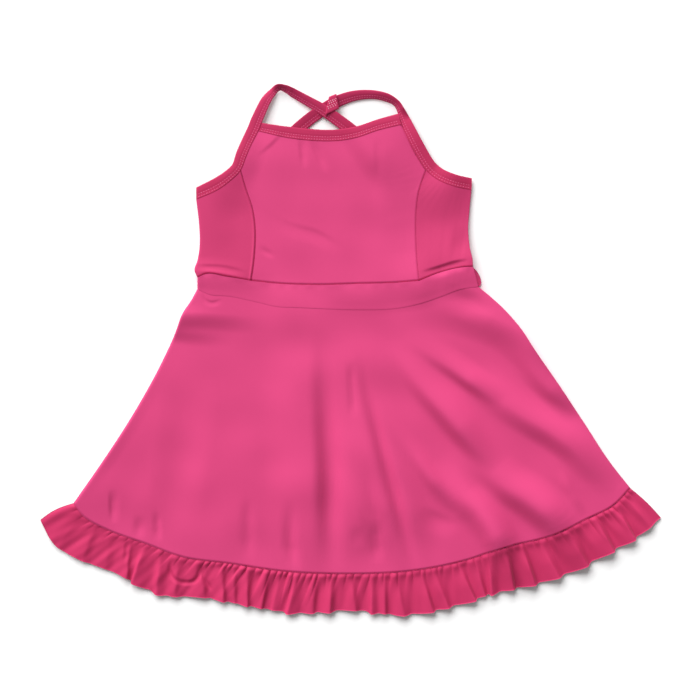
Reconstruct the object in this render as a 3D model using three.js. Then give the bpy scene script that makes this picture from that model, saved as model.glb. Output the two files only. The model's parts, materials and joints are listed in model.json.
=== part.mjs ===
// A child's sleeveless dress in stretch knit, lying flat on its back with the front up.
// X runs to the right as the front is seen, Y towards the neckline and Z up from the surface.
// Left and right are the sides as seen from the front. All sizes are in millimetres.
import * as THREE from 'three';

// Cloth thicknesses and the clearances between pieces
const clothWall = 1.6;
const foldedWall = 2.2;
const keeperWall = 1.2;
const seamGap = 0.3;
const frontBase = clothWall + seamGap;

// Share of a folded piece's thickness that is left at its rounded long edges
const edgeShare = 0.7;

// How far the front stands off the back at the chest and in the middle of the skirt
const chestRise = 3.6;
const skirtRise = 3.8;
const hemRise = 0.8;
const neckFadeFrom = 195;
const neckFadeTo = 270;
const hemFadeFrom = -120;
const hemFadeTo = -215;
const waistFrom = 40;
const waistTo = 75;

// Ruffle: flutes at the hem, gathers at the seam, and how far each stands up or out
const flutes = 30;
const gathersPerFlute = 3;
const columnsPerGather = 2;
const ruffleRows = [0, 0.18, 0.52, 1];
const gatherRise = 1.3;
const gatherReach = 0.6;
const frontFluteRise = 3.8;
const backFluteRise = 2;
const fluteLean = 1.6;
const fluteScallop = 2;

// Slow waves along the seam, of u from 0 to 1, that make the flutes uneven in place and strength
const placeWaves = [
  { reach: 0.3, rate: 14, start: 1 },
  { reach: 0.16, rate: 37, start: 0 },
];
const meanStrength = 0.72;
const strengthWave = { reach: 0.28, rate: 43, start: 2 };

// Cells along each piece
const cellsPerRow = 2;
const stripCells = 2;
const bandCells = 3;

const knitColour = 0xd74679;
const bindingColour = 0xcf4073;
const ruffleColour = 0xc23868;

// Edge lines, each a list of x, y points that a smooth curve runs through.
// The neckline and the princess seams run between points that the armhole strips give.
const neckSeamInner = [[-60, 211], [-21, 208], [6, 211], [28, 218.5]];
const princessLeftInner = [[-103, 160], [-97, 142], [-94, 120], [-95, 92]];
const princessRightInner = [[69, 158], [66.5, 140], [66, 115], [67, 90]];
const sideLeftInner = [[-150.5, 124], [-150, 105], [-152, 90], [-155, 80]];
const sideRightInner = [[119.5, 142], [118, 120], [119.5, 102], [122, 91]];
const bandTopLeft = [[-152, 72], [-142, 76], [-122, 73], [-98, 69]];
const bandTopCentre = [[-98, 69], [-68, 66], [-27, 65], [6, 66], [44, 67], [69, 69]];
const bandTopRight = [[69, 69], [89, 77], [109, 82], [122.5, 83]];
const bandBottom = [
  [-152, 61], [-139, 55], [-120, 53.5], [-94, 48], [-72, 43], [-48, 42], [3, 40],
  [44, 41], [69, 46], [93, 54], [110, 60.5], [128, 63],
];
const backBandEnd = [[126.5, 79], [130, 73], [131, 66]];
const skirtSideLeft = [
  [-152, 61], [-158, 50], [-167, 36], [-174, 18], [-182, 0], [-197, -30], [-220, -70],
  [-246, -110], [-276, -153],
];
const skirtSideRight = [
  [128, 63], [140, 53], [155, 39], [171, 20], [184, 0], [205, -30], [232, -70],
  [258, -110], [280, -138],
];
const ruffleSeam = [
  [-276, -153], [-265, -167], [-241, -180], [-205, -193], [-166, -207], [-122, -213],
  [-66, -221], [-10, -223.5], [46, -222], [84, -217], [119, -209], [153, -197],
  [196, -187], [236, -169], [262, -156], [280, -138],
];
const ruffleHem = [
  [-310, -170], [-295, -195], [-271, -209], [-234, -223], [-188, -244], [-144, -247],
  [-108, -254], [-60, -262], [0, -260], [54, -264], [96, -257], [150, -241],
  [190, -232], [226, -219], [256, -203], [286, -187], [311, -168],
];

// Strips of folded binding, a row for each section. The angle, in degrees, is the direction from
// the inner to the outer edge, and the lift is how high the section's underside lies.
const strapFrontLeftRows = [
  { x: -153.5, y: 156, width: 12, angle: 90 },
  { x: -134, y: 165, width: 12, angle: 117 },
  { x: -121, y: 174, width: 11, angle: 135 },
  { x: -113, y: 182, width: 10.5, angle: 146 },
  { x: -108.5, y: 194, width: 11, angle: 156 },
  { x: -103.5, y: 206, width: 11, angle: 155 },
  { x: -96.5, y: 220.5, width: 11.5, angle: 155 },
  { x: -93.2, y: 228.8, width: 11.5, angle: 157 },
  { x: -88, y: 240.5, width: 11, angle: 158 },
  { x: -83.5, y: 249.5, width: 10, angle: 153 },
  { x: -78, y: 256.5, width: 8, angle: 138 },
  { x: -71.5, y: 262, width: 6.5, angle: 118 },
];
const strapFrontRightRows = [
  { x: 121.5, y: 165.5, width: 12, angle: 88 },
  { x: 105, y: 168.8, width: 12, angle: 76 },
  { x: 90, y: 175, width: 12, angle: 58 },
  { x: 80.5, y: 183, width: 12, angle: 40 },
  { x: 73.5, y: 193.5, width: 12, angle: 33 },
  { x: 66.5, y: 206, width: 12, angle: 30 },
  { x: 56, y: 227, width: 11, angle: 28 },
  { x: 51.5, y: 237.5, width: 8, angle: 27 },
  { x: 45, y: 248, width: 6.5, angle: 38 },
];
const neckCornerRow = 6;
const princessRow = 3;
const strapBackLeftRows = [
  { x: -73.5, y: 261.5, width: 7.5, angle: 72, lift: 0 },
  { x: -57.5, y: 257, width: 8.5, angle: 64, lift: 0 },
  { x: -45.5, y: 250.3, width: 9.5, angle: 62, lift: frontBase },
  { x: -28, y: 240.3, width: 11, angle: 58, lift: frontBase },
  { x: -12, y: 229.5, width: 12, angle: 54, lift: frontBase },
  { x: 2, y: 219, width: 12, angle: 54, lift: frontBase },
  { x: 15, y: 208.5, width: 12, angle: 54, lift: frontBase },
];
const strapBackRightRows = [
  { x: 50.5, y: 240, width: 6, angle: 32, lift: 0 },
  { x: 45.5, y: 246.5, width: 7, angle: 42, lift: 0 },
  { x: 37, y: 251.8, width: 8, angle: 62, lift: 0 },
  { x: 24, y: 255, width: 8.5, angle: 84, lift: 0 },
  { x: 6, y: 254.2, width: 10, angle: 98, lift: 0 },
  { x: -12, y: 248.5, width: 11.5, angle: 113, lift: 0 },
  { x: -33.5, y: 235.7, width: 12, angle: 124, lift: 0 },
  { x: -45, y: 227, width: 12, angle: 129, lift: 0 },
  { x: -58, y: 215.3, width: 12, angle: 133, lift: frontBase },
  { x: -67, y: 206, width: 12, angle: 135, lift: frontBase },
];
const backBindingRows = [
  { x: -152, y: 155.5, width: 11, angle: 90, lift: 0 },
  { x: -132, y: 162, width: 12, angle: 112, lift: 0 },
  { x: -112, y: 174, width: 12, angle: 127, lift: 0 },
  { x: -93, y: 190, width: 12, angle: 124, lift: 0 },
  { x: -72, y: 200, width: 12, angle: 104, lift: 0 },
  { x: -26, y: 203, width: 12, angle: 90, lift: 0 },
  { x: 20, y: 201, width: 12, angle: 78, lift: 0 },
  { x: 44, y: 190, width: 12, angle: 60, lift: 0 },
  { x: 64, y: 175.5, width: 12, angle: 58, lift: 0 },
  { x: 90, y: 165.5, width: 12, angle: 78, lift: 0 },
  { x: 120.5, y: 164.5, width: 11, angle: 90, lift: 0 },
];

// The keeper that holds the crossed straps together: its corners, clockwise from the upper left
const keeperCorners = [[-21, 252.5], [-13.5, 255.5], [-11, 240.5], [-25, 234]];
const keeperCells = 3;

// Creases and soft rises of the front, a row for each: where it starts and ends, its full width
// and how far it rises, or sinks where the rise is negative.
const folds = [
  { from: [-26, -25], to: [-22, -214], width: 26, rise: -2.4 },
  { from: [-6, -60], to: [16, -214], width: 34, rise: 1.8 },
  { from: [4, -20], to: [62, -214], width: 28, rise: -2.6 },
  { from: [62, -8], to: [187, -180], width: 36, rise: 3.4 },
  { from: [78, 6], to: [216, -100], width: 34, rise: -2.4 },
  { from: [142, -118], to: [199, -186], width: 26, rise: -2.2 },
  { from: [109, -150], to: [138, -202], width: 24, rise: -1.8 },
  { from: [99, 34], to: [172, 4], width: 34, rise: -1.6 },
  { from: [-172, 14], to: [-104, 25], width: 28, rise: -1.4 },
  { from: [-66, -150], to: [-57, -214], width: 26, rise: -1.4 },
  { from: [-74, 128], to: [-26, 108], width: 26, rise: 1.2 },
  { from: [-150, 80], to: [-98, 76], width: 14, rise: 1.6 },
  { from: [120, 42], to: [146, 50], width: 14, rise: 1.4 },
];

// A smooth curve through x, y points
function curveThrough(points) {
  return new THREE.CatmullRomCurve3(points.map(([x, y]) => new THREE.Vector3(x, y, 0)));
}

// The curve's points at even steps between each two of its rows
function byRows(points) {
  const curve = curveThrough(points);
  const steps = (points.length - 1) * cellsPerRow;
  return curve.getPoints(steps).map((p) => [p.x, p.y]);
}

// The curve's points at even distances
function byLength(points, steps) {
  return curveThrough(points).getSpacedPoints(steps).map((p) => [p.x, p.y]);
}

// The line with a point added midway along each of its stretches
function halved(line) {
  return line.flatMap(([x, y], i) => {
    const [beforeX, beforeY] = line[Math.max(i - 1, 0)];
    return i === 0 ? [[x, y]] : [[(beforeX + x) / 2, (beforeY + y) / 2], [x, y]];
  });
}

// Two or more lines end to end, each shared point kept once
function joinLines(...lines) {
  return lines.flatMap((line, index) => (index === 0 ? line : line.slice(1)));
}

function smoothFade(value, from, to) {
  return 1 - THREE.MathUtils.smoothstep((value - from) / (to - from), 0, 1);
}

// Left and right limits of the body at a height, for the soft rise of the front
const bodyLeft = [...sideLeftInner, ...skirtSideLeft];
const bodyRight = [...sideRightInner, ...skirtSideRight];

function edgeAt(points, y) {
  const below = points.findIndex((point) => point[1] <= y);
  if (below === 0) {
    return points[0][0];
  }
  if (below < 0) {
    return points[points.length - 1][0];
  }
  const [x0, y0] = points[below - 1];
  const [x1, y1] = points[below];
  return THREE.MathUtils.mapLinear(y, y0, y1, x0, x1);
}

// Rise of one crease at a point: a bell across its width that fades out at both ends
function foldRise({ from, to, width, rise }, x, y) {
  const run = [to[0] - from[0], to[1] - from[1]];
  const length = Math.hypot(...run);
  const along = ((x - from[0]) * run[0] + (y - from[1]) * run[1]) / length;
  const across = ((x - from[0]) * run[1] - (y - from[1]) * run[0]) / length;
  const bell = Math.cos(Math.PI * THREE.MathUtils.clamp(across / width, -0.5, 0.5)) ** 2;
  const past = Math.max(-along, along - length, 0);
  return rise * bell * smoothFade(past, 0, width);
}

// Height of the front's underside above the surface
function frontHeight(x, y) {
  const left = edgeAt(bodyLeft, y);
  const right = edgeAt(bodyRight, y);
  const side = THREE.MathUtils.clamp((2 * x - left - right) / (right - left), -1, 1);
  const neckPart = chestRise * smoothFade(y, neckFadeFrom, neckFadeTo);
  const hemPart = THREE.MathUtils.lerp(hemRise, skirtRise, smoothFade(y, hemFadeFrom, hemFadeTo));
  const middle = THREE.MathUtils.lerp(hemPart, neckPart, THREE.MathUtils.smoothstep(y, waistFrom, waistTo));
  const soft = middle * (1 - side * side);
  const creased = folds.reduce((sum, fold) => sum + foldRise(fold, x, y), soft);
  return frontBase + Math.max(creased, 0);
}

// A grid of x, y points filled in between four edges. The top and bottom edges run to the right
// and the left and right edges run down.
function fillBetween(top, bottom, left, right) {
  const across = top.length - 1;
  const down = left.length - 1;
  return left.map((leftPoint, j) => top.map((topPoint, i) => {
    const u = i / across;
    const v = j / down;
    return [0, 1].map((k) => (
      (1 - v) * topPoint[k] + v * bottom[i][k] + (1 - u) * leftPoint[k] + u * right[j][k]
      - (1 - u) * ((1 - v) * top[0][k] + v * bottom[0][k])
      - u * ((1 - v) * top[across][k] + v * bottom[across][k])
    ));
  }));
}

// A closed line moved inwards by a distance, corners mitred. It runs clockwise or the other way.
function insetLoop(loop, distance) {
  const area = loop.reduce((sum, [x, y], i) => {
    const [nextX, nextY] = loop[(i + 1) % loop.length];
    return sum + x * nextY - nextX * y;
  }, 0);
  const turn = Math.sign(area);
  const sideNormals = loop.map(([x, y], i) => {
    const [nextX, nextY] = loop[(i + 1) % loop.length];
    const length = Math.hypot(nextX - x, nextY - y);
    return [(-turn * (nextY - y)) / length, (turn * (nextX - x)) / length];
  });
  return loop.map(([x, y], i) => {
    const [ax, ay] = sideNormals[(i + loop.length - 1) % loop.length];
    const [bx, by] = sideNormals[i];
    const mitre = distance / (1 + ax * bx + ay * by);
    return [x + (ax + bx) * mitre, y + (ay + by) * mitre];
  });
}

// Places in a grid that lie on its border, in order round it
function borderOf(rows, columns) {
  const border = [];
  for (let i = 0; i < columns - 1; i += 1) border.push([0, i]);
  for (let j = 0; j < rows - 1; j += 1) border.push([j, columns - 1]);
  for (let i = columns - 1; i > 0; i -= 1) border.push([rows - 1, i]);
  for (let j = rows - 1; j > 0; j -= 1) border.push([j, 0]);
  return border;
}

// The grid with its border drawn in by half a seam gap
function insetGrid(grid) {
  const border = borderOf(grid.length, grid[0].length);
  const inner = insetLoop(border.map(([j, i]) => grid[j][i]), seamGap / 2);
  const result = grid.map((row) => row.map((point) => [...point]));
  border.forEach(([j, i], k) => {
    result[j][i] = inner[k];
  });
  return result;
}

// A closed wall over a grid of points, each with x, y, its underside and its upper face
function wallGeometry(grid) {
  const rows = grid.length;
  const columns = grid[0].length;
  const upper = grid.flat().map(({ x, y, top }) => [x, y, top]);
  const lower = grid.flat().map(({ x, y, bottom }) => [x, y, bottom]);
  const [a, b, c] = [grid[0][0], grid[0][1], grid[1][0]];
  const facesUp = (b.x - a.x) * (c.y - a.y) - (c.x - a.x) * (b.y - a.y) > 0;
  const faces = [];
  const quad = (p, q, r, s) => faces.push(...(facesUp ? [p, q, r, p, r, s] : [p, r, q, p, s, r]));
  const under = rows * columns;
  const at = (j, i) => j * columns + i;
  for (let j = 0; j < rows - 1; j += 1) {
    for (let i = 0; i < columns - 1; i += 1) {
      quad(at(j, i), at(j, i + 1), at(j + 1, i + 1), at(j + 1, i));
      quad(under + at(j, i), under + at(j + 1, i), under + at(j + 1, i + 1), under + at(j, i + 1));
    }
  }
  const border = borderOf(rows, columns).map(([j, i]) => at(j, i));
  border.forEach((point, k) => {
    const next = border[(k + 1) % border.length];
    quad(point, under + point, under + next, next);
  });
  const geometry = new THREE.BufferGeometry();
  const positions = [...upper, ...lower].flat();
  geometry.setAttribute('position', new THREE.Float32BufferAttribute(positions, 3));
  geometry.setIndex(faces);
  geometry.computeVertexNormals();
  return geometry;
}

// A panel of the front: one wall over the soft, creased height of the front
function frontPanel(plan) {
  return wallGeometry(insetGrid(plan).map((row) => row.map(([x, y]) => {
    const bottom = frontHeight(x, y);
    return { x, y, bottom, top: bottom + clothWall };
  })));
}

// Thickness of a folded piece at a share of its width: rounded down at the two long edges
function foldedProfile(share) {
  return foldedWall * (share === 0 || share === 1 ? edgeShare : 1);
}

// Sections of a strip, each a row of points from its inner to its outer edge
function stripPlan(rows) {
  const steps = (rows.length - 1) * cellsPerRow;
  const centre = curveThrough(rows.map(({ x, y }) => [x, y])).getPoints(steps);
  const section = curveThrough(rows.map(({ width, angle }) => [width, angle])).getPoints(steps);
  return centre.map(({ x, y }, j) => {
    const width = section[j].x;
    const turn = THREE.MathUtils.degToRad(section[j].y);
    return Array.from({ length: stripCells + 1 }, (_, i) => {
      const reach = width * (i / stripCells - 0.5);
      return [x + reach * Math.cos(turn), y + reach * Math.sin(turn)];
    });
  });
}

// Strip of binding on the front, at the height of the front
function frontStrip(plan) {
  return wallGeometry(insetGrid(plan).map((row) => row.map(([x, y], i) => {
    const bottom = frontHeight(x, y);
    return { x, y, bottom, top: bottom + foldedProfile(i / (row.length - 1)) };
  })));
}

// Strip at the back, flat on the surface or lifted over what it crosses
function backStrip(rows) {
  const plan = insetGrid(stripPlan(rows));
  return wallGeometry(plan.map((row, j) => {
    const place = j / cellsPerRow;
    const before = rows[Math.floor(place)];
    const after = rows[Math.ceil(place)];
    const bottom = THREE.MathUtils.lerp(before.lift, after.lift, place % 1);
    return row.map(([x, y]) => ({ x, y, bottom, top: bottom + clothWall }));
  }));
}

// A flat layer on the surface, cut to a closed outline
function flatLayer(outline) {
  const shape = new THREE.Shape(insetLoop(outline, seamGap / 2).map(([x, y]) => new THREE.Vector2(x, y)));
  return new THREE.ExtrudeGeometry(shape, { depth: clothWall, bevelEnabled: false });
}

// Inner edge of a strip between two of its rows
function innerEdge(plan, fromRow, toRow) {
  const edge = plan.map((row) => row[0]);
  return edge.slice(fromRow * cellsPerRow, toRow * cellsPerRow + 1);
}

// Armhole strips, and the seams that hang from their inner edges
const strapLeftPlan = stripPlan(strapFrontLeftRows);
const strapRightPlan = stripPlan(strapFrontRightRows);
const armholeLeft = innerEdge(strapLeftPlan, 0, princessRow);
const neckSideLeft = innerEdge(strapLeftPlan, princessRow, neckCornerRow).reverse();
const armholeRight = innerEdge(strapRightPlan, 0, princessRow).reverse();
const neckSideRight = innerEdge(strapRightPlan, princessRow, neckCornerRow).reverse();
const neckSeam = byRows([neckSideLeft[0], ...neckSeamInner, neckSideRight[0]]);
const princessLeft = byRows([armholeLeft.at(-1), ...princessLeftInner, bandTopCentre[0]]);
const princessRight = byRows([armholeRight[0], ...princessRightInner, bandTopCentre.at(-1)]);
const sideLeft = byRows([armholeLeft[0], ...sideLeftInner, bandTopLeft[0]]);
const sideRight = byRows([armholeRight.at(-1), ...sideRightInner, bandTopRight.at(-1)]);
const bandTop = [byRows(bandTopLeft), byRows(bandTopCentre), byRows(bandTopRight)];
const bandTopWhole = joinLines(...bandTop);
const bandLower = byLength(bandBottom, bandTopWhole.length - 1);

// Neck binding: a strip that ends at the inner edges of the two armhole strips
const neckBindingWidth = 11.5;
const neckEndLeft = innerEdge(strapLeftPlan, neckCornerRow, neckCornerRow + 1).reverse();
const neckEndRight = innerEdge(strapRightPlan, neckCornerRow, neckCornerRow + 1).reverse();
const neckTopInner = neckSeamInner.map(([x, y]) => [x, y + neckBindingWidth]);
const neckTop = byRows([neckEndLeft[0], ...neckTopInner, neckEndRight[0]]);

function betweenEnds([start, end], cells) {
  return Array.from({ length: cells + 1 }, (_, k) => [0, 1].map((axis) => (
    THREE.MathUtils.lerp(start[axis], end[axis], k / cells)
  )));
}

function neckBinding() {
  const grid = insetGrid(fillBetween(neckTop, neckSeam, neckEndLeft, neckEndRight));
  return wallGeometry(grid.map((row, j) => row.map(([x, y]) => {
    const bottom = frontHeight(x, y);
    return { x, y, bottom, top: bottom + foldedProfile(j / stripCells) };
  })));
}

function frontBand() {
  const leftEnd = betweenEnds([bandTopWhole[0], bandLower[0]], bandCells);
  const rightEnd = betweenEnds([bandTopWhole.at(-1), bandLower.at(-1)], bandCells);
  const grid = insetGrid(fillBetween(bandTopWhole, bandLower, leftEnd, rightEnd));
  return wallGeometry(grid.map((row, j) => row.map(([x, y]) => {
    const bottom = frontHeight(x, y);
    return { x, y, bottom, top: bottom + foldedProfile(j / bandCells) };
  })));
}

function skirtFront() {
  const top = halved(bandLower);
  const bottom = byLength(ruffleSeam, top.length - 1);
  return frontPanel(fillBetween(top, bottom, byRows(skirtSideLeft), byRows(skirtSideRight)));
}

function backBodice() {
  const top = innerEdge(stripPlan(backBindingRows), 0, backBindingRows.length - 1);
  const bottom = [...bandTopWhole].reverse();
  return flatLayer([...top, ...sideRight.slice(1), ...bottom.slice(1), ...sideLeft.slice(1, -1).reverse()]);
}

function backBand() {
  return flatLayer([...bandTopWhole, ...backBandEnd, ...[...bandLower].reverse()]);
}

function skirtBack() {
  const bottom = byLength(ruffleSeam, 2 * bandLower.length).reverse();
  const right = byRows(skirtSideRight);
  const left = byRows(skirtSideLeft).reverse();
  return flatLayer([...bandLower, ...right.slice(1), ...bottom.slice(1), ...left.slice(1, -1)]);
}

function slowWave({ reach, rate, start }, u) {
  return reach * Math.sin(rate * u + start);
}

// Count of flutes up to a place along the seam
function flutePhase(u) {
  return placeWaves.reduce((phase, wave) => phase + slowWave(wave, u), flutes * u);
}

// Points of the two ruffles, which share one plan: the front ruffle lies on the back one
function rufflePoints() {
  const columns = flutes * gathersPerFlute * columnsPerGather;
  const seam = byLength(ruffleSeam, columns);
  const hem = byLength(ruffleHem, columns);
  return ruffleRows.map((v) => seam.map(([seamX, seamY], i) => {
    const u = i / columns;
    const turn = 2 * Math.PI * flutePhase(u);
    const reach = [hem[i][0] - seamX, hem[i][1] - seamY];
    const height = Math.hypot(...reach);
    const out = [reach[0] / height, reach[1] / height];
    const down = seamGap + v * (height - seamGap) + v * fluteScallop * Math.cos(turn);
    const lean = v * fluteLean * Math.sin(turn);
    const strength = meanStrength + slowWave(strengthWave, u);
    const crest = strength * (1 + Math.cos(turn)) / 2;
    const gather = Math.max(1 - v / gatherReach, 0) * (i % columnsPerGather);
    const backBottom = v * backFluteRise * crest;
    const backTop = backBottom + clothWall;
    const frontBottom = backTop + seamGap + gatherRise * gather + v * frontFluteRise * crest;
    return {
      x: seamX + out[0] * down - out[1] * lean,
      y: seamY + out[1] * down + out[0] * lean,
      back: { bottom: backBottom, top: backTop },
      front: { bottom: frontBottom, top: frontBottom + clothWall },
    };
  }));
}

function ruffle(layer) {
  return wallGeometry(rufflePoints().map((row) => row.map((point) => ({
    x: point.x,
    y: point.y,
    ...point[layer],
  }))));
}

function keeper() {
  const [upperLeft, upperRight, lowerRight, lowerLeft] = keeperCorners;
  const top = betweenEnds([upperLeft, upperRight], keeperCells);
  const bottom = betweenEnds([lowerLeft, lowerRight], keeperCells);
  const left = betweenEnds([upperLeft, lowerLeft], keeperCells);
  const right = betweenEnds([upperRight, lowerRight], keeperCells);
  const base = frontBase + clothWall + seamGap;
  return wallGeometry(fillBetween(top, bottom, left, right).map((row) => row.map(([x, y]) => (
    { x, y, bottom: base, top: base + keeperWall }
  ))));
}

const dress = new THREE.Group();

function addPiece(name, geometry, colour) {
  const material = new THREE.MeshStandardMaterial({ color: colour, roughness: 0.7, metalness: 0 });
  const mesh = new THREE.Mesh(geometry, material);
  mesh.name = name;
  dress.add(mesh);
}

// Bodice
const centreLeft = joinLines(neckSideLeft, princessLeft);
const centreRight = joinLines(neckSideRight, princessRight);
const centrePlan = fillBetween(neckSeam, bandTop[1], centreLeft, centreRight);
const sidePlanLeft = fillBetween(armholeLeft, bandTop[0], sideLeft, princessLeft);
const sidePlanRight = fillBetween(armholeRight, bandTop[2], princessRight, sideRight);
addPiece('front_centre_panel', frontPanel(centrePlan), knitColour);
addPiece('front_side_panel_left', frontPanel(sidePlanLeft), knitColour);
addPiece('front_side_panel_right', frontPanel(sidePlanRight), knitColour);
addPiece('back_bodice_panel', backBodice(), knitColour);

// Bindings and straps
addPiece('front_neck_binding', neckBinding(), bindingColour);
addPiece('back_top_binding', backStrip(backBindingRows), bindingColour);
addPiece('strap_front_left', frontStrip(strapLeftPlan), bindingColour);
addPiece('strap_front_right', frontStrip(strapRightPlan), bindingColour);
addPiece('strap_back_left', backStrip(strapBackLeftRows), bindingColour);
addPiece('strap_back_right', backStrip(strapBackRightRows), bindingColour);
addPiece('strap_keeper', keeper(), bindingColour);

// Waistband, skirt and ruffle
addPiece('waistband_front', frontBand(), knitColour);
addPiece('waistband_back', backBand(), knitColour);
addPiece('skirt_front', skirtFront(), knitColour);
addPiece('skirt_back', skirtBack(), knitColour);
addPiece('ruffle_front', ruffle('front'), ruffleColour);
addPiece('ruffle_back', ruffle('back'), ruffleColour);

export default dress;
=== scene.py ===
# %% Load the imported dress
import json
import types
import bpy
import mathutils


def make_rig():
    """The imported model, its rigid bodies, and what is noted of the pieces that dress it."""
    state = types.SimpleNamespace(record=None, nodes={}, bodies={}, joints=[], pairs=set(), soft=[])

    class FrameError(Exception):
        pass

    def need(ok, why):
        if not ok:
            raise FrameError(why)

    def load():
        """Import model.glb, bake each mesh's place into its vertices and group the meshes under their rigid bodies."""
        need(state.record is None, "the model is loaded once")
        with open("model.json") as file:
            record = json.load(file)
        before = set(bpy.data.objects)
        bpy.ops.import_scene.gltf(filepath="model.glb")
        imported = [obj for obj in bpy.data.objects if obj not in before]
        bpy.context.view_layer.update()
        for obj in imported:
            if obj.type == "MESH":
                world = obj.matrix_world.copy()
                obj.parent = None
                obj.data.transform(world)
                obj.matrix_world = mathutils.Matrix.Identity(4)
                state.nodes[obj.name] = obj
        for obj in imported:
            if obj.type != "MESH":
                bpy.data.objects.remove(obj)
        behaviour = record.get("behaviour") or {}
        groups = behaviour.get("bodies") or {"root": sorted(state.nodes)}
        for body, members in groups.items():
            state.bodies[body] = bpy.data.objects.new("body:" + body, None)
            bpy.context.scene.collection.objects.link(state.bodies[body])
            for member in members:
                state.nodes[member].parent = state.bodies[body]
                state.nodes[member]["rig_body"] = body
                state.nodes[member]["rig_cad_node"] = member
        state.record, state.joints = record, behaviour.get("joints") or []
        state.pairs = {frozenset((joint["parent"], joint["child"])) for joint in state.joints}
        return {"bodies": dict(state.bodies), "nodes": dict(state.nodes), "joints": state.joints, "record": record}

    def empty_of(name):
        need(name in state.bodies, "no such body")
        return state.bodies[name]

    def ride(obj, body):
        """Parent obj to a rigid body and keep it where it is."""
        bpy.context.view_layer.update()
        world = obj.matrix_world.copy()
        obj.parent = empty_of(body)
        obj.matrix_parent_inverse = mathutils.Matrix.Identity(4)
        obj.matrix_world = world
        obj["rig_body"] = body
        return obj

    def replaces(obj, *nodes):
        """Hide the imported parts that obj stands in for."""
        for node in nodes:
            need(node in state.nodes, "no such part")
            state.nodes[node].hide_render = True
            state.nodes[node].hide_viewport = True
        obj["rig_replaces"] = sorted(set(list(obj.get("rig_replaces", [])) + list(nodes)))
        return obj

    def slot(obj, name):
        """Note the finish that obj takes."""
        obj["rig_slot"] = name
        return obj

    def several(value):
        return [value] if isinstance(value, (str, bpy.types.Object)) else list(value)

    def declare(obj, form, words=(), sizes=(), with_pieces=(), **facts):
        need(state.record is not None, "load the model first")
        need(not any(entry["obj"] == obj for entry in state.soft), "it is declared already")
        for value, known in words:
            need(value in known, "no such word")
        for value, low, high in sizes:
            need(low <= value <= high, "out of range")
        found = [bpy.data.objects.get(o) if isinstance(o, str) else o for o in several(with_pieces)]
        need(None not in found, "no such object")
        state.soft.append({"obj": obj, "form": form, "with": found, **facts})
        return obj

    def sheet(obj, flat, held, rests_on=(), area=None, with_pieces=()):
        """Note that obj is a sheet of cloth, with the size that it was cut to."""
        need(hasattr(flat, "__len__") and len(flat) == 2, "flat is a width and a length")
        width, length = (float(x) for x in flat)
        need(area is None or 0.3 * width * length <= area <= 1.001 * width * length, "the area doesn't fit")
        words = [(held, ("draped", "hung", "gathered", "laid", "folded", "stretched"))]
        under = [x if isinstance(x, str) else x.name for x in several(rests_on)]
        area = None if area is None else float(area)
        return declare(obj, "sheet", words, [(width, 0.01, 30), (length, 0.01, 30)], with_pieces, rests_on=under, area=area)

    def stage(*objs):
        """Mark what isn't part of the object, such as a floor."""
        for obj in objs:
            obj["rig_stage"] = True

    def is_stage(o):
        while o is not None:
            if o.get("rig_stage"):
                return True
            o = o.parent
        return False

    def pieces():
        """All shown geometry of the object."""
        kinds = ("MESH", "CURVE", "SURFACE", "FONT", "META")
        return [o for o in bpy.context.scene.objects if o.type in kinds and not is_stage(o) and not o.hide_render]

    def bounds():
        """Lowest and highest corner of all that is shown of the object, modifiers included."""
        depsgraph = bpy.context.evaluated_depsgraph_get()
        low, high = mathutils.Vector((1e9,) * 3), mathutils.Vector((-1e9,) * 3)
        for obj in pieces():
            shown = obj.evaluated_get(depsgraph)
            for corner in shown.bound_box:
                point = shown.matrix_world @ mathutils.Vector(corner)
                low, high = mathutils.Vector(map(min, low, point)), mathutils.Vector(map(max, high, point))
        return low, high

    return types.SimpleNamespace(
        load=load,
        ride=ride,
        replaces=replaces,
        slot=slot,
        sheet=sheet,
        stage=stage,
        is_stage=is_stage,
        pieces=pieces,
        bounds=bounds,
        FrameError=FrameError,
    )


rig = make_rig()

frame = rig.load()
cad_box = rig.bounds()
import json
import math
import bpy
import numpy as np

print("pieces of the packed dress:", len(frame["nodes"]))


# %% [markdown]
# The dress lies on a white surface and is seen from straight above. Camera, floor and light come
# first, so that every later look at a piece is already lit like the photograph: a white room
# that fills the shadows, and one soft lamp at the upper left that makes the creases readable.

# %% Camera, floor and light
camera_height = 2.0
view_width = 0.7
sensor = 36.0
floor_size, floor_drop, floor_white = 8, 0.0004, 0.93
room_strength = 0.31
lamp_spread, lamp_energy = math.radians(68), 7.0
lamp_turn = (math.radians(65), 0, math.radians(206))


def deselect():
    if bpy.context.object and bpy.context.object.mode != "OBJECT":
        bpy.ops.object.mode_set(mode="OBJECT")
    bpy.ops.object.select_all(action="DESELECT")


def new_material(name):
    """A material and its node tree."""
    material = bpy.data.materials.new(name)
    material.use_nodes = True
    return material, material.node_tree


def set_inputs(node, values):
    """Constants go on the node's sockets, and outputs of other nodes are linked to them."""
    for socket, value in values.items():
        if isinstance(value, bpy.types.NodeSocket):
            node.id_data.links.new(value, node.inputs[socket])
        else:
            node.inputs[socket].default_value = value


deselect()
bpy.ops.object.camera_add(location=(0, 0, camera_height), rotation=(0, 0, 0))
camera = bpy.context.object
camera.name = "camera_above"
camera.data.sensor_width = sensor
camera.data.lens = sensor * camera_height / view_width
bpy.context.scene.camera = camera

deselect()
bpy.ops.mesh.primitive_plane_add(size=floor_size, location=(0, 0, -floor_drop))
floor = bpy.context.object
floor.name = "white_floor"
white, tree = new_material("white_floor")
set_inputs(tree.nodes["Principled BSDF"], {"Base Color": (*[floor_white] * 3, 1), "Roughness": 0.9})
floor.data.materials.append(white)
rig.stage(floor)

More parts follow.
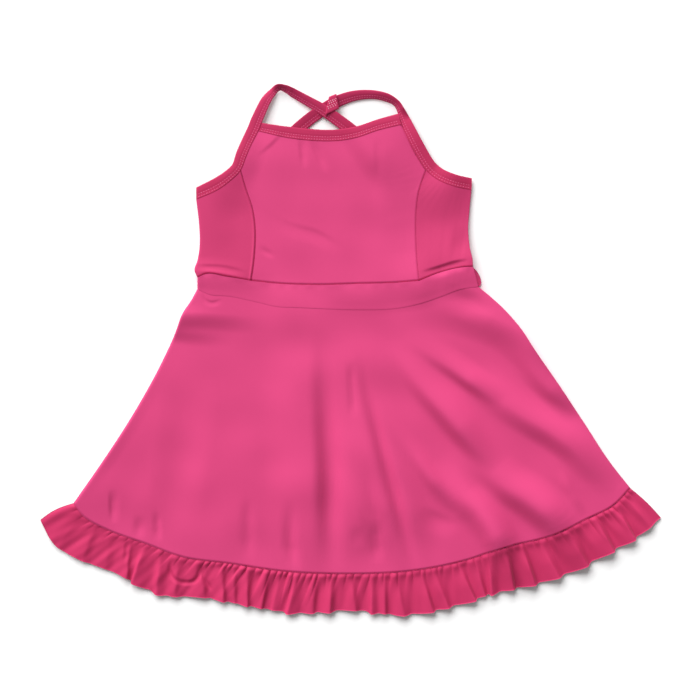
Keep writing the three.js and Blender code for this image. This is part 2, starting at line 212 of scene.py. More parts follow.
room = bpy.data.worlds.new("white_room")
room.use_nodes = True
set_inputs(room.node_tree.nodes["Background"], {"Color": (1, 1, 1, 1), "Strength": room_strength})
bpy.context.scene.world = room
bpy.context.scene.view_settings.view_transform = "Standard"

deselect()
bpy.ops.object.light_add(type="SUN", location=(-1, 2, 2))
lamp = bpy.context.object
lamp.name = "soft_lamp"
lamp.data.angle = lamp_spread
lamp.data.energy = lamp_energy
lamp.rotation_euler = lamp_turn
print("camera lens", round(camera.data.lens, 1), "mm")


# %% [markdown]
# Cloth is drawn on a flat plan first, in millimetres, as a pattern cutter would. Every edge is a
# smooth curve through a few measured points. A point list for each stitch would be slower to read
# and to mend, so a short table and one curve function do it.

# %% Curves of the plan
MM = 0.001
steps_per_row = 24


def smooth_line(points, per_row=steps_per_row):
    """A smooth curve through the points, with the same number of steps between each two."""
    p = np.array(points, float)
    ends = np.vstack([2 * p[0] - p[1], p, 2 * p[-1] - p[-2]])
    t = np.linspace(0, 1, per_row, endpoint=False)[:, None]
    runs = []
    for k in range(len(p) - 1):
        a, b, c, d = ends[k:k + 4]
        before, here, after = (np.linalg.norm(s) ** 0.5 for s in (b - a, c - b, d - c))
        here = here if here > 0.01 else 1.0
        before, after = (s if s > 0.01 else here for s in (before, after))
        start = ((b - a) / before - (c - a) / (before + here) + (c - b) / here) * here
        end = ((c - b) / here - (d - b) / (here + after) + (d - c) / after) * here
        square = 3 * (c - b) - 2 * start - end
        cube = 2 * (b - c) + start + end
        runs.append(b + start * t + square * t**2 + cube * t**3)
    return np.vstack([*runs, p[-1:]])


def lengths_along(line):
    """Length of the line up to each of its points."""
    return np.concatenate([[0], np.cumsum(np.linalg.norm(np.diff(line, axis=0), axis=1))])


def points_at(line, shares):
    """Points of the line at these shares of its length."""
    length = lengths_along(line)
    return np.stack([np.interp(shares * length[-1], length, column) for column in line.T], axis=1)


def crowded(count, crowding=0.8):
    """Shares from 0 to 1 that lie closer together near both ends."""
    t = np.linspace(0, 1, count + 1)
    return t - crowding * np.sin(2 * np.pi * t) / (2 * np.pi)


def smoothstep(value, low, high):
    t = np.clip((value - low) / (high - low), 0, 1)
    return t * t * (3 - 2 * t)


def fill_between(top, bottom, left, right, u, v):
    """A grid of points between four edges. Top and bottom run to the right, left and right run down."""
    top, bottom = points_at(top, u), points_at(bottom, u)
    left, right = points_at(left, v)[:, None], points_at(right, v)[:, None]
    u, v = u[None, :, None], v[:, None, None]
    corners = (1 - u) * ((1 - v) * top[0] + v * bottom[0]) + u * ((1 - v) * top[-1] + v * bottom[-1])
    return (1 - v) * top + v * bottom + (1 - u) * left + u * right - corners


# %% [markdown]
# These are the seams and edges of the dress, left and right as seen from the front: neckline,
# princess seams, side seams, waistband, the flared skirt and the ruffle's seam and hem. The
# bindings are strips, so a row of their table gives a middle point, a width and the direction
# across. Each strap is one long strip: up the armhole, over the shoulder and down across the back.

# %% Seams and outer edges
neck_seam_inner = [(-60, 211), (-21, 208), (6, 211), (28, 218.5)]
princess_left_inner = [(-103, 160), (-97, 142), (-94, 120), (-95, 92)]
princess_right_inner = [(69, 158), (66.5, 140), (66, 115), (67, 90)]
side_left_inner = [(-150.5, 124), (-150, 105), (-152, 90), (-155, 80)]
side_right_inner = [(119.5, 142), (118, 120), (119.5, 102), (122, 91)]
band_top_left = [(-152, 72), (-142, 76), (-122, 73), (-98, 69)]
band_top_centre = [(-98, 69), (-68, 66), (-27, 65), (6, 66), (44, 67), (69, 69)]
band_top_right = [(69, 69), (89, 77), (109, 82), (122.5, 83)]
band_bottom = [
    (-152, 61), (-139, 55), (-120, 53.5), (-94, 48), (-72, 43), (-48, 42), (3, 40), (44, 41), (69, 46),
    (93, 54), (110, 60.5), (128, 63),
]
skirt_side_left = [
    (-152, 61), (-158, 50), (-167, 36), (-174, 18), (-182, 0), (-197, -30), (-220, -70), (-246, -110),
    (-276, -153),
]
skirt_side_right = [
    (128, 63), (140, 53), (155, 39), (171, 20), (184, 0), (205, -30), (232, -70), (258, -110), (280, -138),
]
ruffle_seam = [
    (-276, -153), (-265, -167), (-241, -180), (-205, -193), (-166, -207), (-122, -213), (-66, -221),
    (-10, -223.5), (46, -222), (84, -217), (119, -209), (153, -197), (196, -187), (236, -169), (262, -156),
    (280, -138),
]
ruffle_hem = [
    (-310, -170), (-295, -195), (-271, -209), (-234, -223), (-188, -244), (-144, -247), (-108, -254),
    (-60, -262), (0, -260), (54, -264), (96, -257), (150, -241), (190, -232), (226, -219), (256, -203),
    (286, -187), (311, -168),
]

# %% Strips
# middle x, middle y, width, direction across in degrees, and the underside's lift, if any, where
# the strip has left the front
strap_front_left = [
    (-153.5, 156, 12, 90), (-134, 165, 12, 117), (-121, 174, 11, 135), (-113, 182, 10.5, 146),
    (-108.5, 194, 11, 156), (-103.5, 206, 11, 155), (-96.5, 220.5, 11.5, 155), (-93.2, 228.8, 11.5, 157),
    (-88, 240.5, 11, 158), (-83.5, 249.5, 10, 153), (-78, 256.5, 8, 138), (-71.5, 262, 6.5, 118),
]
strap_back_left = [
    (-64, 260.5, 7, 78, 0.3), (-57.5, 257, 8.5, 64, 0.6), (-45.5, 250.3, 9.5, 62, 1.9),
    (-28, 240.3, 11, 58, 1.9), (-12, 229.5, 12, 54, 1.9), (2, 219, 12, 54, 1.9), (15, 208.5, 12, 54, 1.9),
]
strap_front_right = [
    (121.5, 165.5, 12, 88), (105, 168.8, 12, 76), (90, 175, 12, 58), (80.5, 183, 12, 40),
    (73.5, 193.5, 12, 33), (66.5, 206, 12, 30), (56, 227, 11, 28), (51.5, 237.5, 8, 27),
]
strap_back_right = [
    (46.5, 246, 6.5, 39, 0.2), (37, 251.8, 8, 62), (24, 255, 8.5, 84), (6, 254.2, 10, 98),
    (-12, 248.5, 11.5, 113), (-33.5, 235.7, 12, 124), (-45, 227, 12, 129), (-58, 215.3, 12, 133, 1.9),
    (-67, 206, 12, 135, 1.9),
]
back_binding = [
    (-152, 155.5, 11, 90), (-132, 162, 12, 112), (-112, 174, 12, 127), (-93, 190, 12, 124),
    (-72, 200, 12, 104), (-26, 203, 12, 90), (20, 201, 12, 78), (44, 190, 12, 60), (64, 175.5, 12, 58),
    (90, 165.5, 12, 78), (120.5, 164.5, 11, 90),
]

# %% Edges that follow the strips
princess_row, neck_corner_row = 3, 6
strip_steps = 14
strip_shares = crowded(strip_steps, 0.75)


def strip_plan(rows):
    """Sections of a strip, each a row of points from its inner to its outer edge."""
    middle = smooth_line([r[:2] for r in rows])
    width, turn = smooth_line([r[2:4] for r in rows]).T
    reach = width[:, None] * (strip_shares - 0.5)
    turn = np.radians(turn)[:, None]
    return np.stack([middle[:, :1] + reach * np.cos(turn), middle[:, 1:] + reach * np.sin(turn)], axis=2)


def inner_edge(rows, first, last):
    """The strip's inner edge between two rows of its table."""
    return strip_plan(rows)[first * steps_per_row:last * steps_per_row + 1, 0]


armhole_left = inner_edge(strap_front_left, 0, princess_row)
neck_side_left = inner_edge(strap_front_left, princess_row, neck_corner_row)[::-1]
armhole_right = inner_edge(strap_front_right, 0, princess_row)[::-1]
neck_side_right = inner_edge(strap_front_right, princess_row, neck_corner_row)[::-1]
neck_seam = smooth_line([neck_side_left[0], *neck_seam_inner, neck_side_right[0]])
princess_left = smooth_line([armhole_left[-1], *princess_left_inner, band_top_centre[0]])
princess_right = smooth_line([armhole_right[0], *princess_right_inner, band_top_centre[-1]])
side_left = smooth_line([armhole_left[0], *side_left_inner, band_top_left[0]])
side_right = smooth_line([armhole_right[-1], *side_right_inner, band_top_right[-1]])
band_top = [smooth_line(part) for part in (band_top_left, band_top_centre, band_top_right)]
band_top_whole = np.vstack([band_top[0], band_top[1][1:], band_top[2][1:]])
band_lower = smooth_line(band_bottom)
skirt_left, skirt_right = smooth_line(skirt_side_left), smooth_line(skirt_side_right)
seam_line, hem_line = smooth_line(ruffle_seam), smooth_line(ruffle_hem)
seam_length = lengths_along(seam_line)[-1]
print("ruffle seam", round(seam_length), "mm, hem line", round(lengths_along(hem_line)[-1]), "mm")


# %% [markdown]
# A dress laid flat is never quite flat: air and the turned seams hold the front a few
# millimetres off the back, and the skirt keeps soft creases from hanging. Sculpting by hand would
# do it, but creases placed by a table of paths can be moved a millimetre at a time while looking
# at the photograph. Each row is a path, a full width, a rise (sunk where negative) and a lean,
# which makes one flank steeper. The left side stands up like a folded edge, and the right one
# slopes down to the back.

# %% Creases of the front
crease_strength = 1.55
creases = [
    # path, full width, rise, lean
    # skirt: long creases that fan out below the waist
    ([(-24, 20), (-25, -30), (-23, -77), (-20, -113), (-20, -171), (-16, -222)], 28, -2.2, 0.1),
    ([(-40, 40), (-41, -30), (-38, -100), (-36, -170), (-34, -232)], 66, 3.0, 0.54),
    ([(-6, 20), (-4, -60), (0, -120), (-2, -232)], 54, 2.2, -0.4),
    ([(0, -10), (3, -70)], 12, -0.8, -0.3),
    ([(8, 10), (14, -36), (22, -66), (33, -108), (44, -148), (54, -185), (66, -228)], 20, -2.4, 0),
    ([(2, 10), (6, -32), (16, -70), (28, -112), (39, -150), (50, -190), (60, -232)], 50, 3.5, 0.54),
    ([(24, -10), (33, -60), (44, -110), (58, -160), (78, -232)], 36, 2.2, -0.3),
    ([(40, 10), (50, -4), (68, -32), (92, -60), (118, -90), (146, -118)], 46, 6.0, -0.35),
    ([(102, -78), (128, -110), (152, -134), (178, -151), (200, -170), (228, -212)], 50, 6.0, -0.2),
    ([(54, 12), (66, 7), (86, -8), (106, -22), (150, -54)], 32, 3.2, -0.3),
    ([(96, -4), (128, -33), (158, -56), (180, -70), (202, -83), (222, -98), (242, -118), (266, -138)],
     48, 4.7, -0.2),
    ([(34, 52), (94, 48), (122, 41), (152, 30), (180, 11), (208, -16), (236, -52)], 170, 6.0, -0.62),
    ([(146, 10), (170, -8), (196, -36), (228, -66)], 34, 3.4, -0.1),
    ([(88, -108), (111, -145), (130, -163), (147, -190), (160, -232)], 48, 7.8, -0.1),
    ([(70, -158), (108, -180)], 26, -0.9, 0.4),
    ([(40, -66), (56, -92), (80, -128), (104, -162)], 24, 2.8, -0.2),
    ([(14, -108), (23, -154), (36, -188)], 16, -1.2, 0),
    ([(26, -168), (27, -214)], 14, -1.4, 0),
    ([(7, -174), (7, -198)], 10, -0.6, 0),
    ([(208, -118), (234, -166)], 16, 0.8, 0.2),
    ([(-76, 34), (-122, 36), (-150, 38), (-210, 38)], 150, 3.1, 0.74),
    ([(-112, 22), (-136, 20), (-160, 22), (-206, 30)], 44, 2.3, 0.2),
    ([(-168, 24), (-195, -14), (-228, -72), (-262, -124), (-300, -190)], 110, 1.4, 0),
    ([(-184, 12), (-216, -46), (-247, -96), (-287, -150)], 44, 1.2, 0),
    ([(-158, 0), (-164, -78), (-172, -132), (-180, -190)], 60, -1.3, 0),
    ([(-238, -138), (-237, -174)], 13, -0.9, -0.4),
    ([(-211, -164), (-211, -190)], 16, -0.7, -0.2),
    ([(-193, -160), (-192, -192)], 9, -0.8, 0),
    ([(-58, -146), (-60, -188), (-54, -222)], 16, -2.0, 0),
    ([(-102, -146), (-102, -212)], 16, -0.8, 0),
    ([(-5, -90), (6, -150), (14, -205)], 22, 0.8, 0),
    ([(-90, 10), (-60, -20), (-44, -60)], 60, 0.5, 0),
    # waistband: puckers and soft rises round its ends
    ([(-147, 58), (-144, 50), (-138, 47), (-126, 50)], 8, -0.3, 0.3),
    ([(-156, 79), (-136, 78), (-124, 76), (-108, 73)], 7, 0.2, 0),
    ([(-80, 66), (-130, 75), (-160, 76), (-215, 70)], 36, 1.2, 0),
    ([(-40, 60), (60, 70), (90, 79), (124, 84), (176, 92)], 88, 2.2, -0.25),
    ([(-156, 83), (-126, 82), (-102, 76)], 11, -0.4, 0.4),
    ([(90, 57), (112, 50), (126, 44), (142, 32)], 34, -1.3, 0.2),
    # bodice
    ([(-86, 138), (-62, 124), (-32, 115), (-6, 98)], 18, -0.4, 0.4),
    ([(-66, 222), (-80, 207), (-96, 194)], 25, 0.5, 0.6),
    ([(-98, 180), (-92, 206), (-88, 222)], 30, -0.4, 0),
    ([(-50, 214), (-46, 180)], 11, -0.5, -0.4),
    ([(-40, 212), (-24, 176)], 14, -0.6, -0.4),
    ([(-40, 300), (4, 222), (25, 192), (37, 172), (46, 134)], 66, 3.2, -0.35),
    ([(26, 212), (29, 168)], 14, -0.25, -0.4),
    ([(-98, 200), (-104, 140), (-104, 64)], 80, -0.9, 0),
    ([(-98, 224), (-108, 190), (-122, 160)], 46, 1.6, 0),
    ([(66, 100), (72, 40)], 90, 0.9, 0.45),
    ([(-164, 154), (-134, 164), (-100, 180)], 80, 1.5, 0),
    ([(84, 184), (100, 170), (126, 163)], 100, 2.0, 0),
    ([(112, 124), (110, 102), (108, 86)], 26, -0.8, 0),
    ([(70, 76), (88, 81), (104, 86), (120, 89)], 14, -1.1, 0.5),
    ([(-92, 104), (-84, 98), (-74, 92)], 10, -0.35, 0),
]
ripple_count, ripple_share = 12, 0.002
ripple_random = np.random.default_rng(3)
ripple_waves, ripple_turns, ripple_starts = (ripple_random.uniform(low, high, ripple_count)
                                             for low, high in ((34, 120), (0, 180), (0, 6)))
print("creases placed on the front:", len(creases))

# %% Height of one crease
long_crease, long_fades = 75, (0.7, 0.35)


def crease_rise(plan, path, width, rise, lean):
    """How far one crease lifts the cloth at the points of the plan."""
    line = smooth_line(path, 6 if len(path) > 2 else 10)
    length = lengths_along(line)
    start, run = line[:-1], np.diff(line, axis=0)
    off_x, off_y = plan[..., :1] - start[:, 0], plan[..., 1:] - start[:, 1]
    share = np.clip((off_x * run[:, 0] + off_y * run[:, 1]) / (run**2).sum(axis=1), 0, 1)
    off_x, off_y = off_x - share * run[:, 0], off_y - share * run[:, 1]
    away = off_x**2 + off_y**2
    nearest = away.argmin(axis=-1)[..., None]
    away, off_x, off_y, share = (np.take_along_axis(part, nearest, -1)[..., 0]
                                 for part in (away, off_x, off_y, share))
    step = nearest[..., 0]
    side = np.sign(off_x * run[step, 1] - off_y * run[step, 0])
    half = width / 2 * (1 + lean * side)
    bell = np.cos(np.pi / 2 * np.clip(np.sqrt(away) / half, 0, 1)) ** 2
    place = (length[step] + share * np.diff(length)[step]) / length[-1]
    # a long crease grows slowly and ends sooner, a short one fades the same way at both ends
    short_fade = min(0.5, 0.15 + 0.8 * width / length[-1])
    grow, end = long_fades if length[-1] > long_crease else (short_fade, short_fade)
    return rise * bell * smoothstep(place, -0.02, grow) * smoothstep(1 - place, -0.02, end)


# %% Height of the front
front_base, deepest = 1.9, -0.9
chest_rise, skirt_rise, hem_rise = 3.6, 3.9, 1.0
neck_fall, hem_fall, waist_blend = (222, 275), (-215, -120), (40, 75)
left_slope, left_edge, right_edge = 0.6, 250, 3
body_left = np.vstack([side_left, skirt_left])[::-1]
body_right = np.vstack([side_right, skirt_right])[::-1]


def soft_ripples(x, y):
    """Faint unevenness of cloth that has been smoothed by hand."""
    total = np.zeros_like(x)
    for wave, turn, start in zip(ripple_waves, np.radians(ripple_turns), ripple_starts):
        along = x * math.cos(turn) + y * math.sin(turn)
        across = y * math.cos(turn) - x * math.sin(turn)
        bend = 1.6 * np.sin(across / 47 + start)
        total += ripple_share * wave * np.sin(2 * np.pi * along / wave + start + bend)
    return total


def front_height(plan):
    """Height of the front's underside above the surface, in millimetres."""
    x, y = plan[..., 0], plan[..., 1]
    left = np.interp(y, body_left[:, 1], body_left[:, 0])
    right = np.interp(y, body_right[:, 1], body_right[:, 0])
    side = np.clip((2 * x - left - right) / (right - left), -1, 1)
    at_neck = chest_rise * (1 - smoothstep(y, *neck_fall))
    at_hem = hem_rise + (skirt_rise - hem_rise) * smoothstep(y, *hem_fall)
    middle = at_hem + (at_neck - at_hem) * smoothstep(y, *waist_blend)
    upright = (1 - left_slope * side**2) * (1 - np.abs(side) ** left_edge)
    open_part = np.where(side < 0, upright, 1 - np.abs(side) ** right_edge)
    rise = middle * open_part + soft_ripples(x, y) * np.sqrt(open_part)
    for path, width, height, lean in creases:
        low, high = np.min(path, axis=0) - width, np.max(path, axis=0) + width
        near = (x > low[0]) & (x < high[0]) & (y > low[1]) & (y < high[1])
        if near.any():
            rise[near] += crease_strength * crease_rise(plan[near], path, width, height, lean)
    return front_base + np.maximum(rise, deepest)


print("rise before creases:", chest_rise, "mm at the chest,", skirt_rise, "mm at the skirt")


# %% [markdown]
# The knit is a fine, smooth jersey in bright pink. Its stitches are small V shapes in upright
# columns, too fine to model, so the material makes them as a bump from the piece's own cloth map,
# which is in metres, and paints shade into the hollows between them. A faint cloudiness keeps the
# colour from looking like plastic. The cloth is matt, with a weak sheen for its nap. The side
# panels are a darker copy of the panel knit, painted shade for their curve down at the sides. The
# ruffle's deeper pink is partly its own colour and partly painted shade of its flutes, and the
# strips are given a deeper pink too.

# %% Knit material
knit_roughness = 0.74
sheen = {"Sheen Weight": 0.12, "Sheen Roughness": 0.4, "Sheen Tint": (1.0, 0.62, 0.75, 1)}
# Tint multiplied into the colour where the stitch bump is low: painted shade in the stitch hollows.
stitch_hollow_shade_tint = (0.86, 0.8, 0.82, 1)


def add_node(tree, kind, inputs, **settings):
    node = tree.nodes.new("ShaderNode" + kind)
    for name, value in settings.items():
        setattr(node, name, value)
    set_inputs(node, inputs)
    return node


def two_tones(tree, colour, shade, scale, detail=2.0):
    """A colour that drifts between two tones, by a noise on Object coordinates."""
    place = add_node(tree, "TexCoord", {}).outputs["Object"]
    cloud = add_node(tree, "TexNoise", {"Vector": place, "Scale": scale, "Detail": detail})
    inputs = {"Factor": cloud.outputs["Fac"], "A": (*colour, 1), "B": (*shade, 1)}
    return add_node(tree, "Mix", inputs, data_type="RGBA").outputs["Result"]


def knit(name, colour, shade, gloss, column=0.0009, course=0.0007, depth=0.00005):
    """A jersey knit: two close tones, V stitches of this size as a bump with painted shade in their hollows, and a
    weak sheen.
    """
    material, tree = new_material(name)

    def calc(operation, *values):
        return add_node(tree, "Math", dict(enumerate(values)), operation=operation).outputs[0]

    flat = add_node(tree, "UVMap", {}, uv_map="cloth").outputs["UV"]
    parts = add_node(tree, "SeparateXYZ", {0: flat})
    across = calc("SUBTRACT", calc("FRACT", calc("DIVIDE", parts.outputs["X"], column)), 0.5)
    across = calc("ABSOLUTE", across)
    rows = calc("ADD", calc("DIVIDE", parts.outputs["Y"], course), across)
    leg = calc("SINE", calc("MULTIPLY", rows, 2 * math.pi))
    rib = calc("COSINE", calc("MULTIPLY", across, 2 * math.pi))
    stitch = calc("ADD", calc("MULTIPLY", leg, 0.35), calc("MULTIPLY", rib, -0.5))
    bump = add_node(tree, "Bump", {"Height": stitch, "Strength": 0.5, "Distance": depth})
    # Painted shade: the colour grows darker where the stitch bump is low, in the hollows between the stitch legs.
    inputs = {"Factor": calc("MULTIPLY_ADD", stitch, -0.18, 0.16), "B": stitch_hollow_shade_tint,
              "A": two_tones(tree, colour, shade, 16, 5)}
    hollow_shade = add_node(tree, "Mix", inputs, data_type="RGBA", blend_type="MULTIPLY")
    shader = {"Base Color": hollow_shade.outputs["Result"], "Normal": bump.outputs["Normal"],
              "Roughness": knit_roughness, "Specular IOR Level": gloss, **sheen}
    set_inputs(tree.nodes["Principled BSDF"], shader)
    return material


panel_knit = knit("panel_knit", (0.613, 0.045, 0.176), (0.573, 0.041, 0.162), 0.3)
# The side panels are the panel knit with a darker base colour: painted shade for their curve down at the sides.
shaded_side_knit = knit("side_panel_knit_painted_shade", (0.54, 0.033, 0.138), (0.5, 0.029, 0.124), 0.28)
binding_knit = knit("binding_knit", (0.468, 0.021, 0.093), (0.428, 0.019, 0.084), 0.22)
# The ruffle's darker base colour is partly its own colour and partly painted shade of the hollows between its flutes.
ruffle_knit = knit("ruffle_knit", (0.495, 0.022, 0.103), (0.45, 0.019, 0.093), 0.25)
print("knit materials:", panel_knit.name, shaded_side_knit.name, binding_knit.name, ruffle_knit.name)


# %% [markdown]
# A piece of cloth becomes a closed thin shell: an upper face over a grid, the same grid moved in
# by the cloth's thickness along its normals, and a rim that joins them. The Solidify modifier
# would do the same, but here the underside also has to stay above the surface, so it is built in
# one go.

# %% Shell of cloth
cloth_thickness = 0.8
floor_gap = 0.02
slot_of = {"panel_knit": "knit", "side_panel_knit_painted_shade": "knit",
           "binding_knit": "binding", "ruffle_knit": "ruffle"}


def grid_normals(grid):
    """Upward normals of a grid of points."""
    normal = np.cross(np.gradient(grid, axis=1), np.gradient(grid, axis=0))
    normal /= np.linalg.norm(normal, axis=2, keepdims=True) + 1e-12
    return normal * (1 if normal[..., 2].mean() > 0 else -1)


def border_of(rows, columns):
    """Places in a grid that lie on its border, in order round it."""
    index = np.arange(rows * columns).reshape(rows, columns)
    return np.concatenate([index[0, :-1], index[:-1, -1], index[-1, :0:-1], index[:0:-1, 0]])


def underside(upper, thickness=cloth_thickness):
    """The grid moved in by the cloth's thickness, never below the surface, its border straight down."""
    lower = upper - thickness * grid_normals(upper)
    lower[..., 2] = np.maximum(lower[..., 2], floor_gap)
    for edge in (np.s_[0], np.s_[-1], np.s_[:, 0], np.s_[:, -1]):
        lower[edge][..., :2] = upper[edge][..., :2]
    return lower


def new_piece(name, slot, nodes, points, faces, smooth, material):
    """A mesh from points in millimetres, in the dress's one body, that stands for these nodes."""
    mesh = bpy.data.meshes.new(name)
    mesh.from_pydata((points * MM).tolist(), [], faces)
    mesh.polygons.foreach_set("use_smooth", smooth)
    mesh.materials.append(material)
    mesh.update()
    piece = bpy.data.objects.new(name, mesh)
    bpy.context.collection.objects.link(piece)
    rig.ride(piece, "root")
    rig.slot(piece, slot)
    if nodes:
        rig.replaces(piece, *nodes)
    print(name, sum(len(face) - 2 for face in faces), "triangles")
    return piece


def cloth_map(across, down):
    """Places on the flat cloth, in metres, from two sizes in millimetres."""
    return np.dstack(np.broadcast_arrays(across, down)) * MM


def cloth_shell(name, nodes, upper, flat_map, material, lower=None, thickness=cloth_thickness):
    """A closed shell over a grid of points in millimetres, with its cloth map in metres."""
    rows, columns = upper.shape[:2]
    if lower is None:
        lower = underside(upper, thickness)
    index = np.arange(rows * columns).reshape(rows, columns)
    quads = np.stack([index[:-1, :-1], index[1:, :-1], index[1:, 1:], index[:-1, 1:]], axis=-1)
    quads = quads.reshape(-1, 4)
    ring = border_of(rows, columns)
    a, b, c = upper[0, 0], upper[1, 0], upper[0, 1]
    if (b[0] - a[0]) * (c[1] - a[1]) - (b[1] - a[1]) * (c[0] - a[0]) < 0:
        quads = quads[:, ::-1]
    else:
        ring = ring[::-1]
    under = rows * columns
    after = np.roll(ring, -1)
    rim = np.stack([after, under + after, under + ring, ring], axis=1)
    faces = np.vstack([quads, quads[:, ::-1] + under, rim])
    points = np.vstack([upper.reshape(-1, 3), lower.reshape(-1, 3)])
    smooth = np.arange(len(faces)) < 2 * len(quads)
    piece = new_piece(name, slot_of[material.name], nodes, points, faces.tolist(), smooth, material)
    corners = np.empty(len(piece.data.loops), dtype=np.int32)
    piece.data.loops.foreach_get("vertex_index", corners)
    both_faces = np.vstack([flat_map.reshape(-1, 2)] * 2)
    piece.data.uv_layers.new(name="cloth").data.foreach_set("uv", both_faces[corners].ravel())
    return piece


# %% [markdown]
# Where two panels are sewn, both edges dip into the seam and leave a fine groove. At the side
# seams the front rounds off and its rim reaches down to the back, so no gap shows from the side.
# Each is a small change of height near an edge, worked out from the distance to that edge. The
# left side panel also stands up in a low ridge beside its princess seam.

# %% Edges of a panel
cloth_top, side_rest = 1.3, 0.9
ridge_height, ridge_place, ridge_top = 0.5, 1.9, 186


def edge_distances(grid):
    """Distance of every point to the top, bottom, left and right edge, along the grid lines."""
    down = np.linalg.norm(np.diff(grid[..., :2], axis=0), axis=2)
    down = np.vstack([np.zeros((1, grid.shape[1])), np.cumsum(down, axis=0)])
    along = np.linalg.norm(np.diff(grid[..., :2], axis=1), axis=2)
    along = np.hstack([np.zeros((grid.shape[0], 1)), np.cumsum(along, axis=1)])
    return {"top": down, "bottom": down[-1] - down, "left": along, "right": along[:, -1:] - along}


def seam_dip(distance, depth=1.0, reach=2.3):
    return depth * (1 - np.clip(distance / reach, 0, 1)) ** 2


def rounded_off(height, distance, drop=0.5, reach=0.8):
    """The cloth rolls down by this drop at an edge."""
    share = np.clip(distance / reach, 0, 1)
    return height - drop * (1 - np.sqrt(1 - (1 - share) ** 2))


def front_panel(name, plan, seams, rolled, node, material=panel_knit):
    """A panel of the front over the soft, creased height, with seam grooves and rolled sides."""
    height = front_height(plan) + cloth_top
    edges = edge_distances(plan)
    for edge in seams:
        height = height - seam_dip(edges[edge])
    if rolled and "right" in seams:
        ridge = ridge_height * np.exp(-(edges["right"] - ridge_place) ** 2)
        height = height + ridge * smoothstep(ridge_top - plan[..., 1], 0, 6)
    for edge in rolled:
        height = rounded_off(height, edges[edge])
    upper = np.dstack([plan, height])
    lower = underside(upper)
    for edge in rolled:
        lower[:, 0 if edge == "left" else -1, 2] = side_rest
    return cloth_shell(name, [node], upper, plan * MM, material, lower)


# %% [markdown]
# The bodice front is cut as a centre panel and two side panels, joined by princess seams that run
# from the armholes to the waistband. Princess seams shape the chest without darts. The panels
# share their seam curves, so the grooves meet exactly.

# %% Bodice front
centre_left = np.vstack([neck_side_left, princess_left[1:]])
centre_right = np.vstack([neck_side_right, princess_right[1:]])
centre_plan = fill_between(neck_seam, band_top[1], centre_left, centre_right, crowded(150), crowded(150))
side_u, side_v = crowded(60), crowded(90)
side_left_plan = fill_between(armhole_left, band_top[0], side_left, princess_left, side_u, side_v)
side_right_plan = fill_between(armhole_right, band_top[2], princess_right, side_right, side_u, side_v)
centre = front_panel("centre_panel", centre_plan, ["right", "bottom"], [], "front_centre_panel")
side_front_left = front_panel("side_panel_left", side_left_plan, ["right", "bottom"], ["left"],
                              "front_side_panel_left", shaded_side_knit)
side_front_right = front_panel("side_panel_right", side_right_plan, ["bottom"], ["right"],
                               "front_side_panel_right", shaded_side_knit)


# %% [markdown]
# The skirt front is one flared panel. It hangs from the waistband's lower edge, which laps over
# it, and its own lower edge lies over the gathered top of the ruffle.

# %% Skirt front
skirt_shares = crowded(200, 0.7)
skirt_plan = fill_between(band_lower, seam_line, skirt_left, skirt_right, skirt_shares, skirt_shares)
skirt = front_panel("skirt_front_panel", skirt_plan, ["bottom"], ["left", "right"], "skirt_front")


# %% [markdown]
# The waistband is a folded band, thicker than the panels and slightly padded by its turned edges.
# Its lower edge stands proud of the skirt, which gives the fine shadow line of the photograph. It
# is a grid between its two seam lines, fuller towards the bottom, where it rounds off. Its top
# edge is puckered by the seam and stands higher towards both ends.

# %% Waistband
band_wall, band_lift, band_padding, band_lap, band_depth = 1.0, 1.15, 0.25, 1.2, 26
pucker_height, slack_height = 0.16, 0.2


def band_profile(share, thickness, edge=0.5, roll=0.14):
    """Thickness across a folded strip: flat, and rolled down within this share of both edges."""
    near = np.clip(np.minimum(share, 1 - share) / roll, 0, 1)
    return thickness * (edge + (1 - edge) * np.sqrt(1 - (1 - near) ** 2))


band_u, band_v = crowded(220, 0.6), crowded(22, 0.8)
band_left_end = np.array([band_top_whole[0], band_lower[0]])
band_right_end = np.array([band_top_whole[-1], band_lower[-1]])
band_plan = fill_between(band_top_whole, band_lower, band_left_end, band_right_end, band_u, band_v)
down = band_v[:, None]
band_along = band_u * lengths_along(band_lower)[-1]
pucker = np.sin(band_along / 3.1 + 2 * np.sin(band_u * 19)) * np.exp(-((down - 0.04) / 0.12) ** 2)
slack = np.sin(band_u * 23 + 1) * np.sin(np.pi * down)
tilt = smoothstep(np.abs(2 * band_u - 1), 0.4, 0.8) * (1 - down) ** 0.8
padding = band_padding * smoothstep(down, 0, 0.7) - (1 - np.sqrt(1 - smoothstep(down, 0.93, 1) ** 2))
band_z = front_height(band_plan) + band_lift + padding + tilt
band_z = band_z + pucker_height * pucker + slack_height * slack
for edge in ("left", "right"):
    band_z = rounded_off(band_z, edge_distances(band_plan)[edge])
band_upper = np.dstack([band_plan, band_z])
band_upper[..., 1] -= band_lap * smoothstep(down, 0.8, 1)
band_lower_face = underside(band_upper, band_wall)
band_lower_face[:, [0, -1], 2] = side_rest
waistband = cloth_shell("waistband", ["waistband_front"], band_upper,
                        cloth_map(band_along, down * band_depth), panel_knit, band_lower_face)


# %% [markdown]
# Neckline and armholes are bound with folded strips of the same knit, and the strips run on as
# the straps. A binding is a rounded strip with two rows of sewing near the seam, where the thread
# pulls the cloth into shallow grooves. At the shoulder the strap curls as it turns over, so it
# looks narrower there although its cloth is as wide as before.

# %% Bindings and straps
binding_wall, binding_lift, binding_crown = 1.3, 0.3, 1.4
strap_width = 12.0
stitch_rows, stitch_pitch = (0.16, 0.38), 2.6
groove_depth, groove_width, groove_pull = 0.36, 0.045, 0.1
curl_share, turn_share, turn_lift, edge_fall = 0.08, 0.42, 2.4, 0.2
strips = {}


